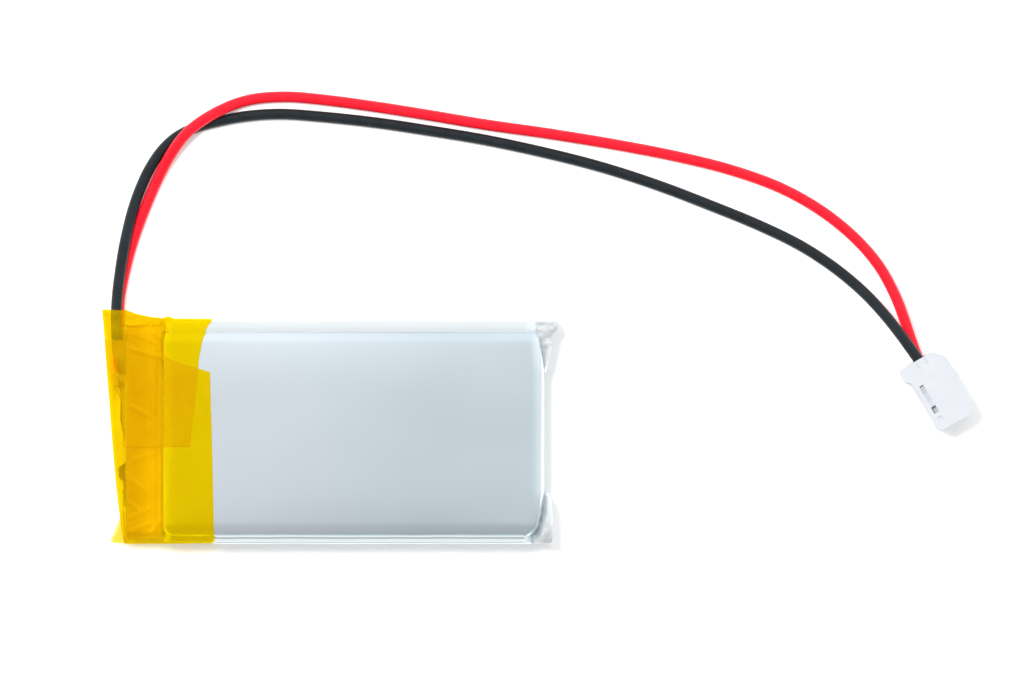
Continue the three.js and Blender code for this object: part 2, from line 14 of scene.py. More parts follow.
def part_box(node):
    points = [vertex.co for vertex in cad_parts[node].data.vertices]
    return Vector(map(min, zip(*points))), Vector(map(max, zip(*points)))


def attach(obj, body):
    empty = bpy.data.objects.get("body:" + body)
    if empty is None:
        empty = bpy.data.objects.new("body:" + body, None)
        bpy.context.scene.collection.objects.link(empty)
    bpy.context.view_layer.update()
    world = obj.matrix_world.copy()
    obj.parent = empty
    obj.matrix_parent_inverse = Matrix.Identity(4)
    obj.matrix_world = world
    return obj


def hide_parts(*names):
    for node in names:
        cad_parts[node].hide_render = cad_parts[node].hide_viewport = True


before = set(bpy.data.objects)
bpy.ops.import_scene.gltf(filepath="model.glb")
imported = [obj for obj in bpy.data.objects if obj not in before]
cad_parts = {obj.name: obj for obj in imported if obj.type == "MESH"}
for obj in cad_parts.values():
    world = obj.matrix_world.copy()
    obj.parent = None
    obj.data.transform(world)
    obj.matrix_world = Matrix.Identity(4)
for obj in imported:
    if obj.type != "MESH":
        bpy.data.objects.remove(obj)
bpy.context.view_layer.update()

MM = 0.001
BODY = "root"

# ---------------- sizes, in millimetres

# the pouch without its seams: its rounded edges are SIDE_RADIUS wide, and FACE_RADIUS high above or
# BACK_RADIUS high below; then the level of its seams' folds, the laminate's thickness, and the
# farthest reach of its corner ears, which is where the solid ends along X in the frame
POUCH_LOW = Vector((-18.4, -11.5, 0.0))
POUCH_HIGH = Vector((23.4, 11.5, 5.7))
SIDE_RADIUS = 1.5
FACE_RADIUS = 1.15
BACK_RADIUS = 0.35
SEAM_TOP = 5.28
LAMINATE = 0.15
EAR_REACH_X = 24.8

# the tape's edge on the face and its thickness, the board's edge at the head, the two tabs that are
# folded over that edge, by their places across the cell and their folds' place along it, and the
# cover paper's thickness
TAPE_END_X = -12.9
TAPE = 0.06
BOARD_X = -22.3
TAB_PLACES = (2.0, -6.5)
TAB_FOLD = -22.8
PAPER = 0.12

# the leads' radius, and the last two places of each one's insulation along the plug
WIRE_RADIUS = 0.6
LEAD_IN_PLUG = (0.6, 2.3)

# the plug: the middle of its wire end on the table, the way it points, its size, the width of its
# wire cavities and of its sockets, and where those are across it and up from the table
PLUG_REAR = Vector((64.7, 8.2, 0.0))
PLUG_TURN = math.radians(-60)
PLUG_LENGTH = 8.0
PLUG_HALF_WIDTH = 2.35
PLUG_HEIGHT = 5.8
CAVITY = 1.7
SOCKET = 1.1
CAVITY_Y = -0.35
RED_CAVITY_Z = 1.9
BLACK_CAVITY_Z = 3.9

pouch_low, pouch_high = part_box("pouch_laminate")
home = Vector((pouch_high.x - EAR_REACH_X * MM, (pouch_low.y + pouch_high.y) / 2, 0.0))


def at(x, y, z):
    """A place in the cell's millimetres, as metres in the frame."""
    return Vector((x, y, z)) * MM + home


def plug_at(along, across, up):
    """A place on the plug: along from its wire end, across it and up from the table."""
    turned = Matrix.Rotation(PLUG_TURN, 3, "Z") @ Vector((along, across, up))
    return at(*(PLUG_REAR + turned))


def add_object(name, data):
    """Puts a mesh, a curve, a camera or a light in the scene as an object."""
    obj = bpy.data.objects.new(name, data)
    bpy.context.scene.collection.objects.link(obj)
    return obj


# ---------------- camera

# the camera looks straight down and sees VIEW_WIDTH across at VIEW_LEVEL above the table
VIEW_CENTRE = (19.89, 9.97)
VIEW_WIDTH = 112.2
VIEW_LEVEL = 3.0
LENS = 300.0
SENSOR = 36.0
CLIP_NEAR = 0.01
CLIP_FAR = 10.0


def add_camera():
    camera = bpy.data.cameras.new("camera")
    camera.lens = LENS
    camera.sensor_width = SENSOR
    camera.clip_start = CLIP_NEAR
    camera.clip_end = CLIP_FAR
    obj = add_object("camera", camera)
    obj.location = at(*VIEW_CENTRE, VIEW_LEVEL + VIEW_WIDTH * LENS / SENSOR)
    bpy.context.scene.camera = obj


# ---------------- leads

# the middle of each lead from its solder joint to the plug; red passes over black near the head, and
# both lie on the table for most of their way
RED_ROUTE = [
    (-23.3, 6.4, 0.95), (-23.35, 9.5, 0.95), (-23.3, 12.6, 0.92), (-23.24, 14.5, 0.8),
    (-22.8, 17, 0.62), (-22.05, 20, 0.62), (-21.3, 22.3, 0.62), (-20.1, 25.4, 0.62),
    (-18.75, 28.4, 0.74), (-17.75, 30.2, 1.22), (-16.75, 31.7, 1.74), (-15.5, 33.1, 1.95),
    (-14, 34.25, 1.88), (-12.3, 35.25, 1.42), (-10.4, 36.1, 0.82), (-8.2, 36.65, 0.62),
    (-4.7, 36.85, 0.62), (-0.6, 36.5, 0.62), (5, 35.75, 0.62), (11, 34.8, 0.62),
    (17, 33.8, 0.62), (24, 32.8, 0.62), (31, 31.65, 0.62), (38, 30.3, 0.62),
    (44, 28.8, 0.62), (49.5, 26.8, 0.62), (54.2, 24.1, 0.62), (57.9, 21, 0.64),
    (60.3, 18.1, 0.82), (62, 14.9, 1.25), (63, 12.2, 1.68), (63.65, 10.2, 1.88),
]
BLACK_ROUTE = [
    (-23.4, 9, 2.2), (-23.5, 11.2, 2.2), (-23.5, 13.4, 2.18), (-23.35, 15.6, 2.02),
    (-23.05, 18, 1.84), (-22.7, 20.2, 1.74), (-22.25, 22.4, 1.44), (-21.75, 24.4, 1.02),
    (-21, 26.6, 0.68), (-20, 28.8, 0.62), (-18.6, 30.9, 0.62), (-17, 32.4, 0.62),
    (-14.9, 33.45, 0.62), (-12.2, 34.2, 0.62), (-9, 34.75, 0.62), (-5.5, 34.95, 0.62),
    (-1, 34.65, 0.62), (5, 34, 0.62), (11, 33.1, 0.62), (17, 32.1, 0.62),
    (24, 30.6, 0.62), (30, 29.05, 0.62), (36, 27.1, 0.62), (41.5, 25, 0.62),
    (47, 22.75, 0.62), (51.6, 20.5, 0.64), (55.4, 18, 0.85), (58.4, 15.45, 1.5),
    (60.7, 12.95, 2.55), (62.3, 10.9, 3.45), (63.3, 9.5, 3.84),
]


def smooth_route(points, per_span=6):
    """The centripetal Catmull-Rom curve through the points, as closely spaced points."""
    ends = [points[0] * 2 - points[1], points[-1] * 2 - points[-2]]
    knots = [ends[0], *points, ends[1]]
    out = []
    for p0, p1, p2, p3 in zip(knots, knots[1:], knots[2:], knots[3:]):
        t1 = (p1 - p0).length ** 0.5
        t2 = t1 + (p2 - p1).length ** 0.5
        t3 = t2 + (p3 - p2).length ** 0.5
        for i in range(per_span):
            t = t1 + (t2 - t1) * i / per_span
            a1 = p0.lerp(p1, t / t1)
            a2 = p1.lerp(p2, (t - t1) / (t2 - t1))
            a3 = p2.lerp(p3, (t - t2) / (t3 - t2))
            b1 = a1.lerp(a2, t / t2)
            b2 = a2.lerp(a3, (t - t1) / (t3 - t1))
            out.append(b1.lerp(b2, (t - t1) / (t2 - t1)))
    out.append(points[-1])
    return out


def tube(name, points, radius, material):
    """A round tube along points, which are in metres in the frame."""
    curve = bpy.data.curves.new(name, "CURVE")
    curve.dimensions = "3D"
    curve.bevel_depth = radius * MM
    curve.bevel_resolution = 8
    curve.use_fill_caps = True
    spline = curve.splines.new("POLY")
    spline.points.add(len(points) - 1)
    for point, place in zip(spline.points, points):
        point.co = (*place, 1.0)
    spline.use_smooth = True
    curve.materials.append(material)
    return add_object(name, curve)


def lead(name, route, cavity_z, material):
    """A lead from its solder joint to its crimp, the place it starts at and its length in metres."""
    places = [at(*p) for p in route]
    places += [plug_at(along, CAVITY_Y, cavity_z) for along in LEAD_IN_PLUG]
    line = smooth_route(places)
    length = sum((b - a).length for a, b in zip(line, line[1:]))
    return tube(name, line, WIRE_RADIUS, material), line[0], length


# ---------------- materials

WHITE = (1, 1, 1, 1)
# the values that a plain noise is mostly between, and the ridged noise of the creases
NOISE_RANGE = (0.3, 0.7)
CREASE_RANGE = (0.75, 1.25)
# where the walls' painted shade gives way to the face's colour, as the upright part of the surface's
# normal
WALL_EDGE = (0.05, 0.4)
# the darker colours painted on the upright walls as painted shade
WALL_SHADE_COLOURS = ((0.60, 0.66, 0.69), (0.66, 0.71, 0.74))
# the film's own body and gloss, and the gloss's share
AMBER_BODY = ((0.97, 0.545, 0.001), (1.0, 0.60, 0.002))
AMBER_GLOSS = (1.0, 0.78, 0.02, 1)
GLOSS_SHARE = 0.07
# where along the cell, in its millimetres, the laminate's painted shade darkens it from the head to
# the end, the tape's creases and their painted shade begin, the paper's darkest painted shade on its
# bent edge gives way to its head's lighter painted shade, and its head to its tail
PAINTED_SHADE_DRIFT = (-9.0, 13.0)
CREASED_HEAD = (-17.6, -19.4)
PAPER_HEAD_TURN = (-22.6, -22.1)
PAPER_TAIL_TURN = (-21.6, -19.6)


def new_material(name):
    """A material with its node tree and its main shader."""
    material = bpy.data.materials.new(name)
    material.use_nodes = True
    tree = material.node_tree
    return material, tree, tree.nodes["Principled BSDF"]


def shader_value(shader, **values):
    """Sets the shader's own sockets; an underscore stands for a space in a socket's name."""
    for name, value in values.items():
        shader.inputs[name.replace("_", " ")].default_value = value


def place_in_piece(tree):
    """The place of each point in its object, which is its place in the frame."""
    return tree.nodes.new("ShaderNodeTexCoord").outputs["Object"]


def axis_of(tree, vector, axis):
    """One part of a vector: X, Y or Z."""
    node = tree.nodes.new("ShaderNodeSeparateXYZ")
    tree.links.new(vector, node.inputs["Vector"])
    return node.outputs[axis]


def math_node(tree, operation, first, second=0.0):
    """A sum in nodes, of numbers or of other nodes' outputs."""
    node = tree.nodes.new("ShaderNodeMath")
    node.operation = operation
    for socket, value in zip(node.inputs, (first, second)):
        if isinstance(value, (int, float)):
            socket.default_value = value
        else:
            tree.links.new(value, socket)
    return node.outputs["Value"]


def map_range(tree, value, start, end, low=0.0, high=1.0, kind="SMOOTHSTEP"):
    """value between start and end turned into a number from low to high, and held beyond them."""
    node = tree.nodes.new("ShaderNodeMapRange")
    node.interpolation_type = kind
    for name, number in (("From Min", start), ("From Max", end), ("To Min", low), ("To Max", high)):
        node.inputs[name].default_value = number
    tree.links.new(value, node.inputs["Value"])
    return node.outputs["Result"]


def grain(tree, size, stretch=(1, 1, 1), detail=3.0):
    """A noise whose features are about size millimetres across, drawn out by stretch."""
    mapping = tree.nodes.new("ShaderNodeMapping")
    mapping.inputs["Scale"].default_value = [1 / s for s in stretch]
    tree.links.new(place_in_piece(tree), mapping.inputs["Vector"])
    texture = tree.nodes.new("ShaderNodeTexNoise")
    texture.inputs["Scale"].default_value = 1 / (size * MM)
    texture.inputs["Detail"].default_value = detail
    tree.links.new(mapping.outputs["Vector"], texture.inputs["Vector"])
    return texture.outputs["Fac"]


def between(tree, noise_value, low, high):
    """A noise, which is seldom outside NOISE_RANGE, turned into a number from low to high."""
    return map_range(tree, noise_value, *NOISE_RANGE, low, high, "LINEAR")


def blend_colours(tree, value, *colours):
    """The mix of two colours, each given as its numbers or as a node's output."""
    node = tree.nodes.new("ShaderNodeMix")
    node.data_type = "RGBA"
    for socket, colour in zip((node.inputs[6], node.inputs[7]), colours):
        if isinstance(colour, tuple):
            socket.default_value = (*colour, 1)
        else:
            tree.links.new(colour, socket)
    tree.links.new(value, node.inputs[0])
    return node.outputs[2]


def relief(tree, shader, *heights):
    """Bumps on the shader: each height is a noise and the millimetres it stands up."""
    normal = None
    for value, depth in heights:
        node = tree.nodes.new("ShaderNodeBump")
        node.inputs["Distance"].default_value = depth * MM
        tree.links.new(value, node.inputs["Height"])
        if normal is not None:
            tree.links.new(normal, node.inputs["Normal"])
        normal = node.outputs["Normal"]
    tree.links.new(normal, shader.inputs["Normal"])
    return normal


def surface(tree, shader, colour, roughness):
    """Joins a colour and a roughness, both from nodes, to the shader."""
    tree.links.new(colour, shader.inputs["Base Color"])
    tree.links.new(roughness, shader.inputs["Roughness"])


def plain_finish(
    name, dark, light, roughness, metallic=0.0, size=0.6, depth=0.004, stretch=(1, 1, 1)
):
    """A finish whose colour, roughness and relief vary a little: size is the width in millimetres of
    its grain and depth is how far that stands up."""
    material, tree, shader = new_material(name)
    wide = grain(tree, size * 4, stretch)
    fine = grain(tree, size, stretch, 5.0)
    colour = blend_colours(tree, between(tree, wide, 0, 1), dark, light)
    surface(tree, shader, colour, between(tree, fine, roughness * 0.85, roughness * 1.15))
    shader_value(shader, Metallic=metallic)
    relief(tree, shader, (fine, depth))
    return material


def along_cell(tree, start, end):
    """0 where X is start and 1 where X is end, in the cell's millimetres."""
    x = axis_of(tree, place_in_piece(tree), "X")
    return map_range(tree, x, at(start, 0, 0).x, at(end, 0, 0).x)


def painted_wall_shade_mask(tree):
    """0 on upright walls, which take the painted shade, and 1 on faces that look up or down."""
    normal = tree.nodes.new("ShaderNodeNewGeometry").outputs["Normal"]
    upright = math_node(tree, "ABSOLUTE", axis_of(tree, normal, "Z"))
    return map_range(tree, upright, *WALL_EDGE)


def laminate_finish(name, lit_head_colour, shaded_end_colour, roughness):
    """Satin foil under clear nylon: its colour is painted darker from the head to the folded end as
    painted shade, clouded a little, its drawn walls are painted a shade darker as painted shade, and
    its roughness is drawn out along the roll."""
    material, tree, shader = new_material(name)
    rolled = grain(tree, 1.2, (5, 1, 1), 0.0)
    sway = grain(tree, 6.0, (1.5, 1, 1), 0.0)
    cloud = between(tree, sway, 0, 1)
    ends = []
    for colour in (lit_head_colour, shaded_end_colour):
        ends.append(blend_colours(tree, cloud, colour, tuple(c * 1.02 for c in colour)))
    # painted shade: the face is painted darker from the head's colour to the folded end's
    face = blend_colours(tree, along_cell(tree, *PAINTED_SHADE_DRIFT), *ends)
    # painted shade: upright walls take the darker wall colours instead of the face's
    walls = blend_colours(tree, cloud, *WALL_SHADE_COLOURS)
    colour = blend_colours(tree, painted_wall_shade_mask(tree), walls, face)
    surface(tree, shader, colour, between(tree, rolled, roughness, roughness * 1.04))
    shader_value(shader, Metallic=1.0)
    relief(tree, shader, (sway, 0.012))
    return material


def crumpled(tree, size):
    """Thin lines like the creases of crumpled film, from 0 to 1, about size millimetres apart."""
    texture = tree.nodes.new("ShaderNodeTexNoise")
    texture.noise_type = "RIDGED_MULTIFRACTAL"
    texture.inputs["Scale"].default_value = 1 / (size * MM)
    texture.inputs["Detail"].default_value = 1.5
    tree.links.new(place_in_piece(tree), texture.inputs["Vector"])
    return map_range(tree, texture.outputs["Fac"], *CREASE_RANGE, kind="LINEAR")


def tape_finish(name, body, clear_colour, crease_shade_colour):
    """Amber film: it tints what is under it by clear_colour, has a share of body of its own and a
    gloss, and its tint is painted darker towards the crease colour along its creases over the head, as
    painted shade."""
    material, tree, shader = new_material(name)
    wide = grain(tree, 3.0, detail=0.0)
    fine = grain(tree, 0.4, (1, 3, 1), 4.0)
    creases = math_node(tree, "MULTIPLY", crumpled(tree, 2.2), along_cell(tree, *CREASED_HEAD))
    colour = blend_colours(tree, between(tree, wide, 0, 1), *AMBER_BODY)
    surface(tree, shader, colour, between(tree, fine, 0.22, 0.34))
    shader_value(shader, Specular_IOR_Level=0.0)
    normal = relief(tree, shader, (wide, 0.015), (fine, 0.0015), (creases, 0.06))
    clear = tree.nodes.new("ShaderNodeBsdfTransparent")
    # painted shade: the tint darkens towards the crease colour along the creases
    tree.links.new(blend_colours(tree, creases, clear_colour, crease_shade_colour), clear.inputs["Color"])
    gloss = tree.nodes.new("ShaderNodeBsdfGlossy")
    gloss.inputs["Color"].default_value = AMBER_GLOSS
    gloss.inputs["Roughness"].default_value = 0.16
    tree.links.new(normal, gloss.inputs["Normal"])
    film = clear.outputs["BSDF"]
    for share, layer in ((body, shader), (GLOSS_SHARE, gloss)):
        mix = tree.nodes.new("ShaderNodeMixShader")
        mix.inputs["Fac"].default_value = share
        tree.links.new(film, mix.inputs[1])
        tree.links.new(layer.outputs["BSDF"], mix.inputs[2])
        film = mix.outputs["Shader"]
    tree.links.new(film, tree.nodes["Material Output"].inputs["Surface"])
    return material


def paper_finish():
    """Kraft paper, painted darker at its head and darkest where it is bent down over the board's edge,
    as painted shade.
    """
    material, tree, shader = new_material("insulating_paper")
    fibres = grain(tree, 0.25, (1, 2, 1), 4.0)
    wide = grain(tree, 1.5)
    shade = between(tree, wide, 0, 1)
    # painted shade: darkest on the bend, lighter on the head, and the paper's own colour on its tail
    bent = blend_colours(tree, shade, (0.16, 0.07, 0.03), (0.26, 0.12, 0.05))
    head = blend_colours(tree, shade, (0.48, 0.25, 0.09), (0.56, 0.30, 0.11))
    tail = blend_colours(tree, shade, (0.66, 0.42, 0.16), (0.72, 0.46, 0.18))
    colour = bent
    for part, turn in ((head, PAPER_HEAD_TURN), (tail, PAPER_TAIL_TURN)):
        colour = blend_colours(tree, along_cell(tree, *turn), colour, part)
    surface(tree, shader, colour, between(tree, fibres, 0.75, 0.92))
    relief(tree, shader, (wide, 0.03), (fibres, 0.01))
    return material


def insulation_finish(name, dark, light):
    """Smooth PVC with a dull shine, its colour a little clouded."""
    material, tree, shader = new_material(name)
    cloud = grain(tree, 1.2, detail=2.0)
    fine = grain(tree, 0.08)
    colour = blend_colours(tree, between(tree, cloud, 0, 1), dark, light)
    surface(tree, shader, colour, between(tree, fine, 0.34, 0.44))
    shader_value(shader, Specular_IOR_Level=0.22)
    relief(tree, shader, (cloud, 0.01), (fine, 0.0015))
    return material


FINISHES = {
    "laminate": laminate_finish("laminate", (0.82, 0.90, 0.965), (0.71, 0.82, 0.873), 0.25),
    # painted highlight: the seams' foil is painted lighter than the face's, for the light its folds
    # catch
    "sealed_edge_painted_highlight": laminate_finish("laminate_edge_painted_highlight", (0.88, 0.945, 0.975), (0.87, 0.94, 0.97), 0.33),
    "crumpled_edge": laminate_finish(
        "laminate_crumpled", (0.91, 0.95, 0.97), (0.91, 0.95, 0.97), 0.5),
    "tape": tape_finish("amber_tape", 0.15, (1.0, 0.965, 0.02), (0.86, 0.72, 0.06)),
    "loose_tape": tape_finish("amber_tape_loose", 0.06, (0.99, 0.905, 0.42), (0.93, 0.86, 0.3)),
    "red": insulation_finish("red_insulation", (0.95, 0.008, 0.024), (1.0, 0.012, 0.03)),
    "black": insulation_finish("black_insulation", (0.010, 0.014, 0.017), (0.014, 0.02, 0.024)),
    "nylon": plain_finish(
        "nylon", (0.58, 0.60, 0.645), (0.62, 0.645, 0.68), 0.42, size=0.5, depth=0.003),
    "cathode": plain_finish("cathode", (0.02, 0.02, 0.022), (0.035, 0.035, 0.04), 0.75),
    "anode": plain_finish("anode", (0.05, 0.045, 0.043), (0.07, 0.062, 0.06), 0.7),
    "separator": plain_finish("separator", (0.82, 0.82, 0.8), (0.9, 0.9, 0.89), 0.55),
    "winding_tape": plain_finish("winding_tape", (0.07, 0.3, 0.11), (0.1, 0.38, 0.15), 0.35),
    "aluminium": plain_finish(
        "aluminium_tab", (0.68, 0.69, 0.7), (0.78, 0.79, 0.8), 0.32,
        metallic=1.0, size=0.3, depth=0.002, stretch=(1, 10, 1)),
    "nickel": plain_finish(
        "nickel", (0.55, 0.53, 0.48), (0.66, 0.64, 0.59), 0.28,
        metallic=1.0, size=0.3, depth=0.002, stretch=(10, 1, 1)),
    "seal_film": plain_finish("seal_film", (0.78, 0.77, 0.68), (0.86, 0.85, 0.78), 0.4),
    "paper": paper_finish(),
    "board": plain_finish("board", (0.012, 0.09, 0.03), (0.02, 0.14, 0.05), 0.35, size=0.4),
    "chip": plain_finish(
        "chip", (0.012, 0.012, 0.013), (0.022, 0.022, 0.024), 0.6, size=0.08, depth=0.003),
    "ceramic": plain_finish(
        "ceramic", (0.32, 0.22, 0.12), (0.42, 0.3, 0.18), 0.55, size=0.08, depth=0.002),
    "solder": plain_finish(
        "solder", (0.6, 0.6, 0.6), (0.75, 0.75, 0.75), 0.25, metallic=1.0, size=0.2, depth=0.006),
    "strands": plain_finish(
        "copper_strands", (0.55, 0.3, 0.17), (0.7, 0.42, 0.26), 0.3,
        metallic=1.0, size=0.1, depth=0.01),
    "contact": plain_finish(
        "contact_metal", (0.55, 0.5, 0.4), (0.68, 0.62, 0.5), 0.3,
        metallic=1.0, size=0.2, depth=0.002),
}


# ---------------- meshes

def mesh_object(name, places, faces):
    """A mesh from places in the frame, in metres."""
    mesh = bpy.data.meshes.new(name)
    mesh.from_pydata(places, [], faces)
    return add_object(name, mesh)


def mesh_piece(name, points, faces, finish):
    """A smooth mesh with its finish, from points in the cell's millimetres."""
    obj = mesh_object(name, [at(*p) for p in points], faces)
    obj.data.validate()
    obj.data.shade_smooth()
    obj.data.materials.append(FINISHES[finish])
    return obj


def grid_faces(rows, columns, closed=False):
    """Quads over rows of columns points. A closed grid joins its last column to its first."""
    faces = []
    last = columns if closed else columns - 1
    for r in range(rows - 1):
        row, above = r * columns, (r + 1) * columns
        for c in range(last):
            d = (c + 1) % columns
            faces.append((row + c, row + d, above + d, above + c))
    return faces


def thicken(obj, thickness):
    """Gives a sheet its thickness, in millimetres."""
    modifier = obj.modifiers.new("thickness", "SOLIDIFY")
    modifier.thickness = thickness * MM
    modifier.offset = 0


def side_of(y):
    """1 on the far side of the cell, where the leads leave it, and -1 on the near side."""
    return 1 if y > 0 else -1


def smoothstep(low, high, value):
    """0 up to low, 1 from high on, and a smooth rise between them."""
    part = min(max((value - low) / (high - low), 0.0), 1.0)
    return part * part * (3 - 2 * part)


def linear(knots, value):
    """The straight lines through knots of (place, height), flat beyond both ends."""
    places, heights = zip(*knots)
    return float(np.interp(value, places, heights))


def along_knots(knots, value):
    """A smooth line through knots of (place, height), flat beyond both ends."""
    if value <= knots[0][0]:
        return knots[0][1]
    for (a, za), (b, zb) in zip(knots, knots[1:]):
        if value <= b:
            return za + (zb - za) * smoothstep(a, b, value)
    return knots[-1][1]


def ridge(x, y, start, end, height, width):
    """The height at a place of a crease from start to end that fades at both ends."""
    dx, dy = end[0] - start[0], end[1] - start[1]
    span = dx * dx + dy * dy
    part = ((x - start[0]) * dx + (y - start[1]) * dy) / span
    away = abs((x - start[0]) * dy - (y - start[1]) * dx) / math.sqrt(span)
    if part < 0 or part > 1 or away > 4 * width:
        return 0.0
    fade = math.sin(math.pi * part) ** 0.6
    return height * fade * math.exp(-((away / width) ** 2))


# ---------------- pouch

# the spacing of the pouch's points on its face and up its walls
FACE_STEP = 0.35
WALL_STEP = 0.6


def cuts(low, high, low_radius, high_radius, step, arc=6):
    """Places across a rounded box, closer together where it is rounded."""
    turns = [math.tan(math.pi / 4 * i / arc) for i in range(arc, 0, -1)]
    count = max(1, round((high - low - low_radius - high_radius) / step))
    inner = np.linspace(low + low_radius, high - high_radius, count + 1)
    return ([low + low_radius * (1 - t) for t in turns] + list(inner)
            + [high - high_radius * (1 - t) for t in reversed(turns)])


def box_skin(xs, ys, zs):
    """The outside of a box as quads between the given places, with shared corners."""
    index, points, faces = {}, [], []

    def corner(p):
        if p not in index:
            index[p] = len(points)
            points.append(p)
        return index[p]

    def side(us, vs, place, flip):
        for u0, u1 in zip(us, us[1:]):
            for v0, v1 in zip(vs, vs[1:]):
                quad = [corner(place(*uv)) for uv in ((u0, v0), (u1, v0), (u1, v1), (u0, v1))]
                faces.append(quad[::-1] if flip else quad)

    side(xs, ys, lambda u, v: (u, v, zs[-1]), False)
    side(xs, ys, lambda u, v: (u, v, zs[0]), True)
    side(xs, zs, lambda u, v: (u, ys[0], v), False)
    side(xs, zs, lambda u, v: (u, ys[-1], v), True)
    side(ys, zs, lambda u, v: (xs[-1], u, v), False)
    side(ys, zs, lambda u, v: (xs[0], u, v), True)
    return points, faces


# how far the face swells, the middle and half the length of that, and how it falls off past FAR_DIP_Y
CROWN = 0.19
CROWN_MIDDLE_X = 2.5
CROWN_HALF_LENGTH = 21.0
FAR_DIP = 0.0008
FAR_DIP_Y = 3.0


def face_relief(x, y):
    """How the pouch's face swells over the winding, falls off to the far side and waves a little."""
    along = (x - CROWN_MIDDLE_X) / CROWN_HALF_LENGTH
    crown = CROWN * (1 - along ** 4) * (1 - (y / POUCH_HIGH.y) ** 4)
    crown -= FAR_DIP * max(y - FAR_DIP_Y, 0.0) ** 2
    sway = 0.012 * noise.noise(Vector((x * 0.11, y * 0.13, 1.7)))
    return crown + sway


def pouch_level(x, y):
    """The height of the pouch's upper face at a place, and nothing beyond its walls."""
    dx = max(POUCH_LOW.x + SIDE_RADIUS - x, x - POUCH_HIGH.x + SIDE_RADIUS, 0.0) / SIDE_RADIUS
    dy = max(abs(y) - POUCH_HIGH.y + SIDE_RADIUS, 0.0) / SIDE_RADIUS
    away = min(math.hypot(dx, dy), 1.0)
    if away >= 1.0:
        return 0.0
    rounded = FACE_RADIUS * (1 - math.sqrt(1 - away * away))
    return POUCH_HIGH.z - rounded + face_relief(x, y) * (1 - away)


# how far each corner of the folded end is drawn in, and where along and across the cell that starts
DRAWN_IN = {1: 0.45, -1: 0.8}
DRAWN_FROM_X = 19.0
DRAWN_FROM_Y = 6.5
DRAWN_WIDTH = 4.6


def draw_in(x, y):
    """Draws the corners of the folded end in, the near one more than the far one."""
    if x <= DRAWN_FROM_X:
        return x
    share = max(abs(y) - DRAWN_FROM_Y, 0.0) / DRAWN_WIDTH
    inset = DRAWN_IN[side_of(y)] * share ** 1.6
    length = POUCH_HIGH.x - DRAWN_FROM_X
    return DRAWN_FROM_X + (x - DRAWN_FROM_X) * (length - inset) / length


def pouch_body():
    """The drawn cup: a box skin pulled onto its rounded edges, with a swollen face."""
    low, high = POUCH_LOW, POUCH_HIGH
    xs = cuts(low.x, high.x, SIDE_RADIUS, SIDE_RADIUS, FACE_STEP)
    ys = cuts(low.y, high.y, SIDE_RADIUS, SIDE_RADIUS, FACE_STEP)
    zs = cuts(low.z, high.z, BACK_RADIUS, FACE_RADIUS, WALL_STEP)
    points, faces = box_skin(xs, ys, zs)
    shaped = []
    for x, y, z in points:
        q = (min(max(x, low.x + SIDE_RADIUS), high.x - SIDE_RADIUS),
             min(max(y, low.y + SIDE_RADIUS), high.y - SIDE_RADIUS),
             min(max(z, low.z + BACK_RADIUS), high.z - FACE_RADIUS))
        radii = (SIDE_RADIUS, SIDE_RADIUS, FACE_RADIUS if z > q[2] else BACK_RADIUS)
        n = Vector([(a - b) / r for a, b, r in zip((x, y, z), q, radii)]).normalized()
        px, py, pz = (b + a * r for a, b, r in zip(n, q, radii))
        if n.z > 0:
            pz += face_relief(px, py) * n.z ** 2
        shaped.append((draw_in(px, py), py, pz))
    return mesh_piece("pouch_body", shaped, faces, "laminate")


# each seam's outline as (across, up): up its outer wall, over its fold and down inside
FAR_SEAM = [
    (12.30, 0.02), (12.30, 1.5), (12.30, 3.2), (12.30, 4.6), (12.29, 5.0), (12.26, 5.2),
    (12.18, 5.31), (12.02, 5.34), (11.84, 5.36), (11.66, 5.38), (11.48, 5.40), (11.32, 5.405),
    (11.18, 5.41), (11.05, 5.42), (10.93, 5.42), (10.83, 5.35), (10.76, 5.1), (11.5, 4.0),
    (11.58, 2.0), (11.6, 0.9), (11.8, 0.85), (11.95, 0.5), (11.3, 0.3), (11.2, 0.02),
]
NEAR_SEAM = [
    (12.28, 0.02), (12.28, 1.5), (12.28, 3.2), (12.28, 4.8), (12.27, 5.1), (12.24, 5.30),
    (12.18, 5.41), (12.10, 5.44), (12.02, 5.42), (11.94, 5.37), (11.86, 5.31), (11.79, 5.25),
    (11.73, 5.24), (11.67, 5.30), (11.61, 5.37), (11.55, 5.40), (11.48, 5.38), (11.41, 5.34),
    (11.34, 5.28), (11.28, 5.2), (11.28, 4.2), (11.58, 2.0), (11.6, 0.9), (11.8, 0.85),
    (11.95, 0.5), (11.3, 0.3), (11.2, 0.02),
]
# for the far side and the near side: the seam's outline, its end, how far that end dips, how much
# the fold waves, how far in it stands, and how much further the tape presses it
SEAMS = {
    1: {"outline": FAR_SEAM, "end": 23.2, "dip": 0.7, "wave": 0.03, "inset": 0.03, "pressed": 0.1},
    -1: {"outline": NEAR_SEAM, "end": 22.1, "dip": 0.9, "wave": 0.08, "inset": 0.15, "pressed": 0.17},
}
SEAM_STATIONS = 120
# where along the cell the seams' ends begin to dip, and how far they dip at the head
SEAM_DIPS_FROM = 21.2
SEAM_HEAD_DIP = 0.9
# where along the cell the tape lets go of the seams; under it the near fold, which is the part above
# FOLD_LEVEL, is pressed to TAPED_FOLD_LEVEL and falls off by TAPED_LEAN past LEAN_FROM_Y
TAPED = (-13.4, -12.2)
FOLD_LEVEL = 5.2
TAPED_FOLD_LEVEL = 5.27
TAPED_LEAN = 0.35
LEAN_FROM_Y = 11.3


